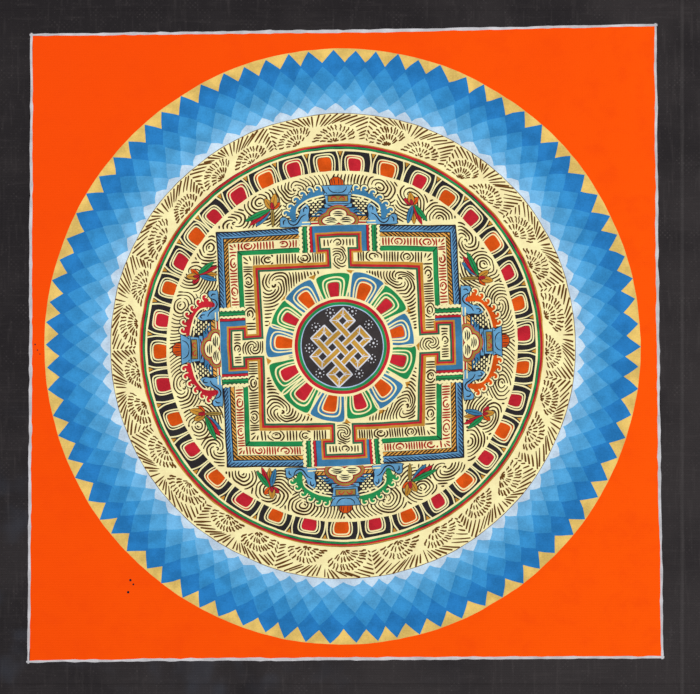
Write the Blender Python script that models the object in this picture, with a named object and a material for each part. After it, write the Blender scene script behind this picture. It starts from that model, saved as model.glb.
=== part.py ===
"""A square cotton canvas with a painted mandala, lying face up on a flat surface.

One closed sheet. The painted square in the middle lies dead flat. Round it runs a black margin with the
soft creases that a frame has pressed into the cloth, and past the creases the free edge lifts a little.
Metres, +Z up, the origin under the middle of the sheet, and +Y towards the painting's upper edge.
"""

from math import cos, pi, sin

import bmesh
import bpy

MM = 0.001

# Driving dimensions
SHEET_WIDTH = 240 * MM
SHEET_HEIGHT = 240 * MM
CANVAS_THICKNESS = 1.0 * MM
CREASE_LEFT = -111.5 * MM      # where each crease runs, measured from the middle
CREASE_RIGHT = 105.6 * MM
CREASE_LOWER = -106.6 * MM
CREASE_UPPER = 107.9 * MM
CREASE_HALF_WIDTH = 1.2 * MM   # a crease is a soft ridge, this wide to either side
CREASE_HEIGHT = 0.3 * MM
EDGE_LIFT = 0.7 * MM           # how far the free edge stands off the surface
EDGE_WANDER = 0.5 * MM         # the hand-cut edge's departure from a straight line
FIELD_STEPS = 8                # facets across the flat field between two creases

CANVAS_COLOUR = (0.030, 0.026, 0.026, 1.0)
CANVAS_ROUGHNESS = 0.85


def clear_scene():
    for old in list(bpy.data.objects):
        bpy.data.objects.remove(old, do_unlink=True)


def grid_lines(low_edge, low_crease, high_crease, high_edge):
    """The places of the sheet's grid lines along one axis: close together at the creases."""
    margin_rows = [low_edge, (low_edge + low_crease) / 2]
    low_ridge = [low_crease - CREASE_HALF_WIDTH, low_crease, low_crease + CREASE_HALF_WIDTH]
    high_ridge = [high_crease - CREASE_HALF_WIDTH, high_crease, high_crease + CREASE_HALF_WIDTH]
    step = (high_ridge[0] - low_ridge[-1]) / FIELD_STEPS
    field = [low_ridge[-1] + step * i for i in range(1, FIELD_STEPS)]
    far_margin = [(high_crease + high_edge) / 2, high_edge]
    return margin_rows + low_ridge + field + high_ridge + far_margin


def crease_rise(place, crease):
    """The height of a crease's ridge at a distance from its line."""
    distance = abs(place - crease) / CREASE_HALF_WIDTH
    return CREASE_HEIGHT * max(0.0, 1.0 - distance)


def edge_rise(place, low_crease, high_crease, half_size):
    """How much the margin past a crease lifts towards the free edge."""
    past = max(place - high_crease, low_crease - place, 0.0) - CREASE_HALF_WIDTH
    reach = half_size - (high_crease if place > 0 else -low_crease) - CREASE_HALF_WIDTH
    return EDGE_LIFT * (max(past, 0.0) / reach) ** 2


def rise(x, y):
    """The height of the sheet's underside above the surface that it lies on."""
    ridge = max(
        crease_rise(x, CREASE_LEFT), crease_rise(x, CREASE_RIGHT),
        crease_rise(y, CREASE_LOWER), crease_rise(y, CREASE_UPPER),
    )
    lift_x = edge_rise(x, CREASE_LEFT, CREASE_RIGHT, SHEET_WIDTH / 2)
    lift_y = edge_rise(y, CREASE_LOWER, CREASE_UPPER, SHEET_HEIGHT / 2)
    return ridge + max(lift_x, lift_y) * (0.75 + 0.25 * cos(x / SHEET_WIDTH * pi) * cos(y / SHEET_HEIGHT * pi))


def edge_wander(along, size):
    """The slight wave of an edge that was cut by hand."""
    turn = along / size * pi
    return EDGE_WANDER * (0.6 * sin(3.0 * turn + 0.8) + 0.4 * cos(7.0 * turn))


def painted_canvas():
    """The sheet: a grid on the crease lines, given its hand-cut outline, height and thickness."""
    across = grid_lines(-SHEET_WIDTH / 2, CREASE_LEFT, CREASE_RIGHT, SHEET_WIDTH / 2)
    upward = grid_lines(-SHEET_HEIGHT / 2, CREASE_LOWER, CREASE_UPPER, SHEET_HEIGHT / 2)
    bm = bmesh.new()
    bmesh.ops.create_grid(bm, x_segments=len(across) - 1, y_segments=len(upward) - 1, size=0.5)
    for vert in bm.verts:
        column = round((vert.co.x + 0.5) * (len(across) - 1))
        row = round((vert.co.y + 0.5) * (len(upward) - 1))
        x, y = across[column], upward[row]
        vert.co = (x, y, rise(x, y))
        if column in (0, len(across) - 1):
            vert.co.x -= (EDGE_WANDER + edge_wander(y, SHEET_HEIGHT)) * (1 if x > 0 else -1)
        if row in (0, len(upward) - 1):
            vert.co.y -= (EDGE_WANDER + edge_wander(x, SHEET_WIDTH)) * (1 if y > 0 else -1)
    upper_side = bmesh.ops.extrude_face_region(bm, geom=bm.faces[:], use_keep_orig=True)
    lifted = [item for item in upper_side["geom"] if isinstance(item, bmesh.types.BMVert)]
    bmesh.ops.translate(bm, verts=lifted, vec=(0, 0, CANVAS_THICKNESS))
    bmesh.ops.recalc_face_normals(bm, faces=bm.faces[:])
    mesh = bpy.data.meshes.new("painted_canvas")
    bm.to_mesh(mesh)
    bm.free()
    sheet = bpy.data.objects.new("painted_canvas", mesh)
    bpy.context.scene.collection.objects.link(sheet)
    return sheet


def canvas_paint():
    """The near-black paint of the margin, as a single plain finish."""
    paint = bpy.data.materials.new("canvas_paint")
    paint.use_nodes = True
    surface = paint.node_tree.nodes["Principled BSDF"]
    surface.inputs["Base Color"].default_value = CANVAS_COLOUR
    surface.inputs["Roughness"].default_value = CANVAS_ROUGHNESS
    surface.inputs["Metallic"].default_value = 0.0
    return paint


def main():
    clear_scene()
    sheet = painted_canvas()
    sheet.data.materials.append(canvas_paint())


main()
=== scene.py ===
"""A small mandala painting on cotton canvas, lying face up.

The canvas is one thin sheet with a black margin and an orange field. The painting on it is built up as a
painter builds it: flat dabs of colour first, gold among them, layer on layer, then the fine brush strokes.
Drawing sizes are in millimetres from the mandala's centre, with +Y towards the painting's upper edge.
"""

from math import atan2, ceil, cos, degrees, exp, hypot, pi, radians, sin
from random import Random

import bmesh
import bpy
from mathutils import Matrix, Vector, noise


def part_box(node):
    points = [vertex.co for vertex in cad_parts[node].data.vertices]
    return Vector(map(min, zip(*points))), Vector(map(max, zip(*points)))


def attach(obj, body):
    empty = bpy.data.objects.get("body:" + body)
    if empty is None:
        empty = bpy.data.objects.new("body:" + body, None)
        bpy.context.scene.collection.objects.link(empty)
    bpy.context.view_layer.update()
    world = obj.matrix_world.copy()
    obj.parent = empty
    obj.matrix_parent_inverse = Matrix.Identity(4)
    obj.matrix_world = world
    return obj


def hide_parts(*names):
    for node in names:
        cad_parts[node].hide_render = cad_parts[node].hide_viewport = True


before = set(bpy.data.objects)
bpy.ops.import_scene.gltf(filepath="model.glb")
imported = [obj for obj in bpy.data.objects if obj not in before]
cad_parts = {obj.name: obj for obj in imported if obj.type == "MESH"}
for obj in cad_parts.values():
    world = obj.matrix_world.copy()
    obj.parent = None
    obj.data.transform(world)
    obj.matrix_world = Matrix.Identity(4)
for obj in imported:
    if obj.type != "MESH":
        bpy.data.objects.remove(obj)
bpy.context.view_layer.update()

LOW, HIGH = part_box("painted_canvas")
MM = 0.001

# ---------------------------------------------------------------- sizes, in millimetres

CANVAS_THICKNESS = 1.0
COAT = 0.008                    # how thick one coat of paint is
LINE_HEIGHT = 0.035             # how far a line's crest stands above its coat
THREAD_PITCH = 0.77             # from one canvas thread to the next

CENTRE = (-2.2, 0.0)            # the mandala's centre, from the middle of the sheet
CREASES_X = (-111.5, 105.6)     # the soft creases of a frame, from the middle of the sheet
CREASES_Y = (-106.6, 107.9)
CREASE_HALF_WIDTH = 1.2
CREASE_HEIGHT = 0.3
EDGE_LIFT = 0.7
EDGE_WANDER = 0.5
GRID_PITCH = 3.0                # between the sheet's grid lines where it is flat
CREASE_PITCH = 0.3              # and over a crease
BACK_SHARE = 0.12               # the share of the baked map that the back and the cut edges take

CIRCLE = 94.8                   # the mandala's outer circle
LEAF_RING = (64.4, 73.95)       # the gold ring of curled leaves, inner and outer radius
PETAL_RING = 55.7               # the radius the petals stand on
PALACE = (-0.45, 0.47)          # the middle of the square palace
PALACE_TURN = radians(2.35)     # the palace stands a little askew
LOTUS = (-0.25, 0.2)            # the middle of the lotus
LOTUS_BASE = 15.9               # the radius its petals stand on
DISC = 12.9                     # the black disc in the lotus

RAY_COUNT = 82
PETAL_COUNT = 35
LOTUS_COUNT = 13

# Coats, counted up from the canvas; a line's crest reaches over the next four coats
RAY_COAT = 1
GROUND_COAT = 8
SPRIG_COAT = 15
PALACE_COAT = 15
HATCH_COAT = 20
GATE_COAT = 26
CROWN_COAT = 27
LOTUS_COAT = 32


# ---------------------------------------------------------------- the hand's own unevenness

RING_DRIFT = (
    # a ring's radius, and how far its middle stands to the right of the mandala's and above it
    (50.0, 0.0, 0.0),
    (56.0, -0.4, 0.2),
    (63.0, -0.5, 0.5),
    (74.0, 0.0, 0.25),
    (95.0, -0.2, 0.2),
    (200.0, 0.0, 0.0),
)


def ring_drift(radius):
    """How far the middle of the ring of that radius stands from the mandala's."""
    for (low, *below), (high, *above) in zip(RING_DRIFT, RING_DRIFT[1:]):
        if low <= radius < high:
            share = (radius - low) / (high - low)
            return [a + (b - a) * share for a, b in zip(below, above)]
    return 0.0, 0.0


def by_hand(x, y):
    """Where the brush lands when it aims at x, y: its ring's drift and a little tremor."""
    slow = noise.noise_vector(Vector((x / 15.0, y / 15.0, 3.7)))
    quick = noise.noise_vector(Vector((x / 3.9, y / 3.9, 9.1)))
    right, up = ring_drift(hypot(x, y))
    return x + right + 0.22 * slow.x + 0.12 * quick.x, y + up + 0.22 * slow.y + 0.12 * quick.y


def rise(x, y):
    """The height of the sheet's underside, in millimetres, at a place from the sheet's middle."""
    ridge = 0.0
    lift = 0.0
    for place, creases, half in ((x, CREASES_X, HIGH[0] / MM), (y, CREASES_Y, HIGH[1] / MM)):
        for crease in creases:
            away = abs(place - crease) / CREASE_HALF_WIDTH
            ridge = max(ridge, CREASE_HEIGHT * (0.5 + 0.5 * cos(pi * min(away, 1.0))))
        low, high = creases
        past = max(place - high, low - place) - CREASE_HALF_WIDTH
        reach = half - (high if place > 0 else -low) - CREASE_HALF_WIDTH
        lift = max(lift, EDGE_LIFT * (max(past, 0.0) / reach) ** 2)
    wide = HIGH[0] / MM * 2
    return ridge + lift * (0.75 + 0.25 * cos(x / wide * pi) * cos(y / wide * pi))


def smooth(points, closed=False, step=0.7):
    """A smooth line through a few points, as points about a step apart."""
    count = len(points)
    spans = count if closed else count - 1
    path = []
    for i in range(spans):
        if closed:
            a, b, c, d = (points[(i + k) % count] for k in (-1, 0, 1, 2))
        else:
            a, b, c, d = (points[min(max(i + k, 0), count - 1)] for k in (-1, 0, 1, 2))
        pieces = max(1, ceil(hypot(c[0] - b[0], c[1] - b[1]) / step))
        for j in range(pieces):
            t = j / pieces
            path.append(tuple(
                0.5 * (2 * b[k] + (c[k] - a[k]) * t + (2 * a[k] - 5 * b[k] + 4 * c[k] - d[k]) * t ** 2
                       + (3 * b[k] - a[k] - 3 * c[k] + d[k]) * t ** 3)
                for k in (0, 1)
            ))
    if not closed:
        path.append(tuple(points[-1]))
    return path


def straight(points, closed=False, step=1.5):
    """The straight line through a few corners, as points about a step apart."""
    ends = list(zip(points, points[1:]))
    if closed:
        ends.append((points[-1], points[0]))
    path = []
    for (ax, ay), (bx, by) in ends:
        pieces = max(1, ceil(hypot(bx - ax, by - ay) / step))
        path += [(ax + (bx - ax) * j / pieces, ay + (by - ay) * j / pieces) for j in range(pieces)]
    if not closed:
        path.append(tuple(points[-1]))
    return path


def circle(radius, centre=(0.0, 0.0), step=1.0):
    """A circle, as points about a step apart."""
    count = max(8, ceil(2 * pi * radius / step))
    turns = (2 * pi * i / count for i in range(count))
    return [(centre[0] + radius * cos(t), centre[1] + radius * sin(t)) for t in turns]


def on_ring(points, angle, radius, centre=(0.0, 0.0)):
    """Bends (along, outward) points round a circle, clockwise from angle."""
    bent = []
    for along, outward in points:
        turn = angle - along / (radius + 3.0)
        bent.append((centre[0] + (radius + outward) * cos(turn), centre[1] + (radius + outward) * sin(turn)))
    return bent


# How far each corner of the palace is drawn off the square: at the court and at the outer wall
CORNER_LEAN = {
    (True, True): ((-0.1, -1.6), (-0.3, -1.4)),
    (False, True): ((-0.2, -0.2), (0.0, -0.7)),
    (True, False): ((-1.8, 0.1), (-0.8, 1.0)),
    (False, False): ((-0.3, 1.0), (0.3, 0.9)),
}


def in_palace(points):
    """Takes points of the palace's own plan to the sheet: askew, and with uneven corners."""
    c, s = cos(PALACE_TURN), sin(PALACE_TURN)
    out = []
    for x, y in points:
        reach = max(abs(x), abs(y), 0.001)
        inner, outer = CORNER_LEAN[x > 0, y > 0]
        share = min(abs(x), abs(y)) / reach * min(1.0, max(0.0, (reach - 20.0) / 4.0))
        level = min(1.0, max(0.0, (reach - 25.0) / 13.0))
        x += share * (inner[0] + (outer[0] - inner[0]) * level)
        y += share * (inner[1] + (outer[1] - inner[1]) * level)
        out.append((PALACE[0] + x * c - y * s, PALACE[1] + x * s + y * c))
    return out


def on_side(points, quarter):
    """Takes (along, outward) points of one of the palace's sides to the sheet; side 0 is the upper one."""
    turn = -quarter * pi / 2
    c, s = round(cos(turn)), round(sin(turn))
    return in_palace([(a * c - o * s, a * s + o * c) for a, o in points])


def moved(points, x, y, turn=0.0, size=1.0):
    """The points turned and scaled, and then carried to x, y."""
    c, s = cos(turn) * size, sin(turn) * size
    return [(x + px * c - py * s, y + px * s + py * c) for px, py in points]


def mirrored(points):
    """A shape's left half with its right half joined on."""
    return list(points) + [(-x, y) for x, y in reversed(points) if x != 0]


# ---------------------------------------------------------------- materials


class Value:
    """A number that varies over a surface. Arithmetic on it adds Math nodes."""

    def __init__(self, finish, socket):
        self.finish = finish
        self.socket = socket

    def maths(self, operation, *others):
        numbers = dict(enumerate((self, *others)))
        return self.finish.node("ShaderNodeMath", {"operation": operation}, numbers)

    def __add__(self, other):
        return self.maths("ADD", other)

    def __sub__(self, other):
        return self.maths("SUBTRACT", other)

    def __mul__(self, other):
        return self.maths("MULTIPLY", other)

    def __rsub__(self, other):
        return self.finish.node("ShaderNodeMath", {"operation": "SUBTRACT"}, {0: other, 1: self})

    __radd__ = __add__
    __rmul__ = __mul__

    def __abs__(self):
        return self.maths("ABSOLUTE")

    def sine(self):
        return self.maths("SINE")

    def ramp(self, low, high):
        """0 below low, 1 above high and smooth between; the other way round if low is above high."""
        settings = {"interpolation_type": "SMOOTHSTEP", "clamp": True}
        flip = low > high
        ends = {"From Min": min(low, high), "From Max": max(low, high)}
        ends |= {"To Min": 1.0 if flip else 0.0, "To Max": 0.0 if flip else 1.0}
        return self.finish.node("ShaderNodeMapRange", settings, {"Value": self} | ends)


class Finish:
    """A material, with one method that adds any node to it."""

    def __init__(self, name):
        self.material = bpy.data.materials.new(name)
        self.material.use_nodes = True
        self.tree = self.material.node_tree
        self.tree.nodes.clear()
        self.surface = None

    def node(self, kind, settings=None, sockets=None, output=0):
        node = self.tree.nodes.new(kind)
        for key, value in (settings or {}).items():
            setattr(node, key, value)
        for key, value in (sockets or {}).items():
            if isinstance(value, Value):
                self.tree.links.new(value.socket, node.inputs[key])
            else:
                node.inputs[key].default_value = value
        return Value(self, node.outputs[output]) if len(node.outputs) else None

    def place(self):
        """The place on the piece, in metres."""
        return self.node("ShaderNodeTexCoord", output="Object")

    def axes(self, place):
        return [self.node("ShaderNodeSeparateXYZ", {}, {0: place}, k) for k in range(3)]

    def mottle(self, place, size, detail=2.0, shift=0.0):
        """Smooth noise from 0 to 1, with patches about size millimetres across."""
        spot = self.node("ShaderNodeVectorMath", {"operation": "ADD"}, {0: place, 1: (shift, shift, shift)})
        sockets = {"Vector": spot, "Scale": 1.0 / (size * MM), "Detail": detail, "Roughness": 0.55}
        return self.node("ShaderNodeTexNoise", {}, sockets)

    def blend(self, factor, first, second):
        """first where factor is 0 and second where it is 1."""
        sockets = {"Factor": factor, "A": first, "B": second}
        node = self.tree.nodes.new("ShaderNodeMix")
        node.data_type = "RGBA"
        for key, value in sockets.items():
            kind = "VALUE" if key == "Factor" else "RGBA"
            socket = next(s for s in node.inputs if s.name == key and s.type == kind)
            if isinstance(value, Value):
                self.tree.links.new(value.socket, socket)
            else:
                socket.default_value = value
        return Value(self, next(s for s in node.outputs if s.type == "RGBA"))

    def finish(self, colour, roughness, height=None, relief=0.1, specular=0.3, metallic=0.0):
        """Closes the material; height is in the units that relief, in millimetres, scales."""
        sockets = {"Base Color": colour, "Roughness": roughness, "Metallic": metallic}
        sockets["Specular IOR Level"] = specular
        if height is not None:
            bump = {"Strength": 1.0, "Distance": relief * MM, "Height": height}
            sockets["Normal"] = self.node("ShaderNodeBump", {}, bump)
        surface = self.node("ShaderNodeBsdfPrincipled", {}, sockets)
        self.node("ShaderNodeOutputMaterial", {}, {"Surface": surface})
        return self.material


def tint(red, green, blue):
    """A colour as seen, 0 to 255, as the shader's linear light."""
    seen = (red / 255, green / 255, blue / 255)
    linear = [v / 12.92 if v <= 0.04045 else ((v + 0.055) / 1.055) ** 2.4 for v in seen]
    return (*linear, 1.0)


def weave(finish, place):
    """The plain weave: the height of its threads, 0 to 1, and how much each place is a thread's top."""
    drift = finish.mottle(place, 9.0, 1.0)
    x, y, _ = finish.axes(place)
    turn = pi / (THREAD_PITCH * MM)
    across = (x * turn + drift * 2.6).sine()
    along = (y * turn + drift * 2.2).sine()
    warp = abs(across)
    weft = abs(along)
    return warp * weft, across * along


def painted_finish(name, colour, edge=None, roughness=0.62, streak=0.10, specular=0.05):
    """One body colour, brushed on: a little lighter and darker in patches, thin paint at a line's edge."""
    finish = Finish(name)
    place = finish.place()
    patches = finish.mottle(place, 5.0, 3.0, 0.3)
    grain = finish.mottle(place, 0.5, 2.0, 0.7)
    threads, _ = weave(finish, place)
    pale = tuple(min(1.0, v * (1 + 2.0 * streak) + 0.02 * streak) for v in colour[:3]) + (1.0,)
    deep = tuple(v * (1 - 2.6 * streak) for v in colour[:3]) + (1.0,)
    shade = patches.ramp(0.30, 0.72) * 0.65 + grain.ramp(0.25, 0.75) * 0.35
    body = finish.blend(shade, deep, pale)
    if edge is not None:
        crest = finish.node("ShaderNodeAttribute", {"attribute_name": "crest"}, {}, "Fac")
        body = finish.blend(crest.ramp(0.0, 0.2), edge, body)
    height = grain * 0.5 + threads * 0.6
    return finish.finish(body, roughness, height, 0.035, specular)


# ---------------------------------------------------------------- paint

CORD_SIDE = 1e-6                # a cord's point this near its middle height, in metres, is on its side


class Paint:
    """One colour of paint: its dabs and lines are collected coat by coat and become one thin mesh."""

    def __init__(self, name, material):
        self.name = name
        self.material = material
        self.dabs = []
        self.bands = []
        self.lines = {}

    def dab(self, outline, coat):
        """A filled shape."""
        self.dabs.append(([by_hand(x, y) for x, y in outline], coat))

    def band(self, outer, inner, coat):
        """A closed ring between two outlines with as many points as each other."""
        self.bands.append(([by_hand(*p) for p in outer], [by_hand(*p) for p in inner], coat))

    def line(self, points, width, coat, closed=False, ends=1.0, swell=0.0):
        """A brush line, which swell makes uneven.

        Its ends, or its start and its end, are that share of its width.
        """
        first, last = ends if isinstance(ends, tuple) else (ends, ends)
        if len(points) < 4 and not closed:
            points = straight(points, step=0.5)
        count = len(points)
        row = []
        for i, (x, y) in enumerate(points):
            t = i / (count - 1)
            full = 1.0 if closed else min(
                first + (1.0 - first) * min(1.0, t * 2.4) ** 0.7,
                last + (1.0 - last) * min(1.0, (1.0 - t) * 2.4) ** 0.7,
            )
            uneven = 1.0 + swell * noise.noise(Vector((x / 3.1, y / 3.1, width)))
            row.append((*by_hand(x, y), width / 2 * full * uneven))
        self.lines.setdefault(coat, []).append((row, closed))

    def lines_mesh(self, coat):
        """This coat's lines: round cords on one curve, pressed flat."""
        curve = bpy.data.curves.new(self.name, "CURVE")
        curve.dimensions = "3D"
        curve.twist_mode = "Z_UP"
        curve.fill_mode = "FULL"
        curve.bevel_depth = MM
        curve.bevel_resolution = 0
        curve.use_fill_caps = True
        for row, closed in self.lines[coat]:
            spline = curve.splines.new("POLY")
            spline.points.add(len(row) - 1)
            for point, (x, y, half) in zip(spline.points, row):
                point.co = (x * MM, y * MM, 0, 1)
                point.radius = half
            spline.use_cyclic_u = closed
        holder = bpy.data.objects.new(self.name, curve)
        mesh = bpy.data.meshes.new_from_object(holder)
        bpy.data.objects.remove(holder)
        bpy.data.curves.remove(curve)
        return mesh

    def build(self):
        """Makes the piece, puts it on the canvas and says that it moves with it."""
        bm = bmesh.new()
        crest = bm.verts.layers.float.new("crest")
        top = CANVAS_THICKNESS * MM
        low = top - 2 * COAT * MM
        for n, (outline, coat) in enumerate(self.dabs):
            coat += 0.04 * (n % 10)  # so that no two dabs lie in one plane
            face = bm.faces.new([bm.verts.new((x * MM, y * MM, low)) for x, y in outline])
            self.thicken(bm, [face], coat + 2, crest)
        for outer, inner, coat in self.bands:
            edges = []
            for loop in (outer, inner):
                verts = [bm.verts.new((x * MM, y * MM, low)) for x, y in loop]
                edges += [bm.edges.new((a, b)) for a, b in zip(verts, verts[1:] + verts[:1])]
            faces = bmesh.ops.bridge_loops(bm, edges=edges)["faces"]
            self.thicken(bm, faces, coat + 2, crest)
        for coat in self.lines:
            mesh = self.lines_mesh(coat)
            fresh = bmesh.new()
            fresh.from_mesh(mesh)
            bpy.data.meshes.remove(mesh)
            base = top + (coat - 0.6) * COAT * MM
            layer = fresh.verts.layers.float.new("crest")
            for vert in fresh.verts:
                above = vert.co.z > CORD_SIDE
                below = vert.co.z < -CORD_SIDE
                vert[layer] = 1.0 if above else 0.0
                vert.co.z = base + LINE_HEIGHT * MM * (1.0 if above else -0.3 if below else 0.0)
            pressed = bpy.data.meshes.new("pressed")
            fresh.to_mesh(pressed)
            fresh.free()
            bm.from_mesh(pressed)
            bpy.data.meshes.remove(pressed)
        bmesh.ops.translate(bm, verts=bm.verts[:], vec=(CENTRE[0] * MM, CENTRE[1] * MM, 0))
        bmesh.ops.recalc_face_normals(bm, faces=bm.faces[:])
        map_from_above(bm)
        mesh = bpy.data.meshes.new(self.name)
        bm.to_mesh(mesh)
        bm.free()
        mesh.shade_smooth()
        mesh.set_sharp_from_angle(angle=radians(40))
        mesh.materials.append(self.material)
        piece = bpy.data.objects.new(self.name, mesh)
        bpy.context.scene.collection.objects.link(piece)
        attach(piece, "root")
        return piece

    @staticmethod
    def thicken(bm, faces, coats, crest):
        """Gives flat faces the thickness of some coats of paint, upwards, and closes them."""
        lifted = bmesh.ops.extrude_face_region(bm, geom=faces, use_keep_orig=True)
        raised = [item for item in lifted["geom"] if isinstance(item, bmesh.types.BMVert)]
        bmesh.ops.translate(bm, verts=raised, vec=(0, 0, coats * COAT * MM))
        for face in faces:
            for vert in face.verts:
                vert[crest] = 1.0
        for vert in raised:
            vert[crest] = 1.0


def map_from_above(bm):
    """A map straight down onto the sheet, which the baked colours use."""
    layer = bm.loops.layers.uv.new("OFBake")
    for face in bm.faces:
        for loop in face.loops:
            at = loop.vert.co
            loop[layer].uv = (
                (at.x - LOW[0]) / (HIGH[0] - LOW[0]),
                (at.y - LOW[1]) / (HIGH[1] - LOW[1]),
            )


# ---------------------------------------------------------------- the canvas


def canvas_face_finish():
    """The face: a black margin that shows the weave, and the orange field."""
    finish = Finish("canvas_face")
    place = finish.place()
    x, y, _ = finish.axes(place)
    threads, crossing = weave(finish, place)
    big = finish.mottle(place, 26.0, 3.0)
    middling = finish.mottle(place, 6.0, 3.0, 0.2)
    fine = finish.mottle(place, 1.1, 2.0, 0.4)

    # Black margin: charcoal, worn paler on the thread tops in patches, in streaks and along the right crease
    worn = (middling.ramp(0.52, 0.78) * 0.35 + fine.ramp(0.5, 0.8) * 0.4) * crossing.ramp(0.1, 0.9)
    for stretch, strength in (((0.12, 1.0, 1.0), 0.14), ((1.0, 0.1, 1.0), 0.22)):
        thin = finish.node("ShaderNodeVectorMath", {"operation": "MULTIPLY"}, {0: place, 1: stretch})
        worn = worn + finish.mottle(thin, 1.1, 2.0, 0.6).ramp(0.52, 0.8) * strength
    black = finish.blend((big + x * 1.1 - y * 1.0).ramp(0.27, 0.77), tint(38, 35, 37), tint(54, 50, 51))
    black = finish.blend(worn * 0.65, black, tint(92, 86, 86))
    cool = finish.mottle(place, 14.0, 2.0, 0.9).ramp(0.5, 0.75) * (0.0 - x * 2.0 - y * 3.0).ramp(0.2, 0.45)
    black = finish.blend(cool * 0.45, black, tint(62, 66, 76))
    line = abs(x - CREASES_X[1] * MM).ramp(0.9 * MM, 0.1 * MM) * (middling * 0.45 + fine * 0.15)
    black = finish.blend(line * 0.6, black, tint(96, 92, 92))

    # Orange field: a touch deeper to the left and top, with faint brush patches
    slope = (x * 2.6 - y * 1.6 + big * 0.5 + 0.25).ramp(0.0, 1.0)
    orange = finish.blend(slope, tint(246, 74, 0), tint(255, 86, 0))
    orange = finish.blend(middling.ramp(0.45, 0.75) * 0.35, orange, tint(240, 70, 2))
    orange = finish.blend(fine.ramp(0.72, 0.9) * 0.25, orange, tint(255, 108, 40))

    inside = None
    for (ax, ay), (bx, by) in zip(FIELD_CORNERS, FIELD_CORNERS[1:] + FIELD_CORNERS[:1]):
        length = hypot(bx - ax, by - ay)
        offset = (ax * (by - ay) - ay * (bx - ax)) / length * MM
        away = x * ((by - ay) / length) - y * ((bx - ax) / length) - offset
        edge = (away + (middling - 0.5) * (0.3 * MM)).ramp(0.2 * MM, 0.36 * MM)
        inside = edge if inside is None else inside * edge
    colour = finish.blend(inside, black, orange)
    roughness = 0.80 - inside * 0.14
    height = threads * (1.0 - inside * 0.6) + fine * 0.35
    return finish.finish(colour, roughness, height, 0.10, 0.05)


def bare_cotton_finish():
    """The back and the cut edges: unpainted cotton, with a little slub in the threads."""
    finish = Finish("bare_cotton")
    place = finish.place()
    threads, crossing = weave(finish, place)
    slub = finish.mottle(place, 3.0, 3.0, 0.5)
    big = finish.mottle(place, 40.0, 2.0)
    cotton = finish.blend(big.ramp(0.3, 0.7), tint(213, 200, 172), tint(226, 215, 190))
    # Painted shade: where the weave is low, in the hollows between the threads, the cotton is painted a
    # darker brown
    cotton = finish.blend(threads.ramp(0.5, 0.0) * 0.55, cotton, tint(168, 150, 118))
    cotton = finish.blend(slub.ramp(0.6, 0.8) * 0.3, cotton, tint(236, 228, 206))
    return finish.finish(cotton, 0.9, threads + slub * 0.3 + crossing * 0.15, 0.16, 0.2)


# The orange field's corners, clockwise from the upper left, from the middle of the sheet
FIELD_CORNERS = [(-101.2, 99.2), (97.3, 102.3), (99.4, -98.7), (-102.1, -100.1)]


def grid_places(low, creases, high):
    """The sheet's grid lines along one axis, which stand close together over a crease."""
    places = [low]
    stops = [low]
    for crease in creases:
        stops += [crease - CREASE_HALF_WIDTH, crease + CREASE_HALF_WIDTH]
    stops.append(high)
    for i, (start, stop) in enumerate(zip(stops, stops[1:])):
        pitch = CREASE_PITCH if i % 2 else GRID_PITCH
        pieces = ceil((stop - start) / pitch)
        places += [start + (stop - start) * j / pieces for j in range(1, pieces + 1)]
    return places


def edge_wander(along, half):
    """How far the cut edge stands inside the sheet's box, at a place along a side."""
    turn = along / half * pi / 2
    return EDGE_WANDER * (1 + 0.6 * sin(3 * turn + 0.8) + 0.4 * cos(7 * turn))


def canvas_sheet():
    """The cloth: a closed sheet with soft creases, a lifted edge and a hand-cut outline."""
    across = grid_places(LOW[0] / MM, CREASES_X, HIGH[0] / MM)
    upward = grid_places(LOW[1] / MM, CREASES_Y, HIGH[1] / MM)
    last_column = len(across) - 1
    last_row = len(upward) - 1
    bm = bmesh.new()
    bmesh.ops.create_grid(bm, x_segments=last_column, y_segments=last_row, size=0.5)
    for vert in bm.verts:
        column = round((vert.co.x + 0.5) * last_column)
        row = round((vert.co.y + 0.5) * last_row)
        x, y = across[column], upward[row]
        height = rise(x, y)
        if column in (0, last_column):
            x -= edge_wander(y, across[-1]) * (1 if x > 0 else -1)
        if row in (0, last_row):
            y -= edge_wander(x, upward[-1]) * (1 if y > 0 else -1)
        vert.co = (x * MM, y * MM, height * MM)
    face = bmesh.ops.extrude_face_region(bm, geom=bm.faces[:], use_keep_orig=True)
    lifted = [item for item in face["geom"] if isinstance(item, bmesh.types.BMVert)]
    bmesh.ops.translate(bm, verts=lifted, vec=(0, 0, CANVAS_THICKNESS * MM))
    bmesh.ops.recalc_face_normals(bm, faces=bm.faces[:])
    rim = [e for e in bm.edges if e.is_manifold and abs(e.calc_face_angle(0.0)) > radians(60)]
    bmesh.ops.bevel(bm, geom=rim, offset=0.15 * MM, segments=2, profile=0.5, affect="EDGES", material=-1)
    layer = bm.loops.layers.uv.new("OFBake")
    for polygon in bm.faces:
        up = polygon.normal.z > 0.5
        polygon.material_index = 0 if up else 1
        for loop in polygon.loops:
            u = (loop.vert.co.x - LOW[0]) / (HIGH[0] - LOW[0])
            v = (loop.vert.co.y - LOW[1]) / (HIGH[1] - LOW[1])
            loop[layer].uv = (u, BACK_SHARE + (1 - BACK_SHARE) * v if up else (BACK_SHARE - 0.01) * v)
    mesh = bpy.data.meshes.new("canvas_sheet")
    bm.to_mesh(mesh)
    bm.free()
    mesh.shade_smooth()
    mesh.set_sharp_from_angle(angle=radians(35))
    mesh.materials.append(canvas_face_finish())
    mesh.materials.append(bare_cotton_finish())
    sheet = bpy.data.objects.new("canvas_sheet", mesh)
    bpy.context.scene.collection.objects.link(sheet)
    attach(sheet, "root")
    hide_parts("painted_canvas")
    return sheet


# ---------------------------------------------------------------- the paints

GOLD = painted_finish("gold_line", tint(255, 238, 179), None, 0.5, 0.05, 0.08)
palette = {}


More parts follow.
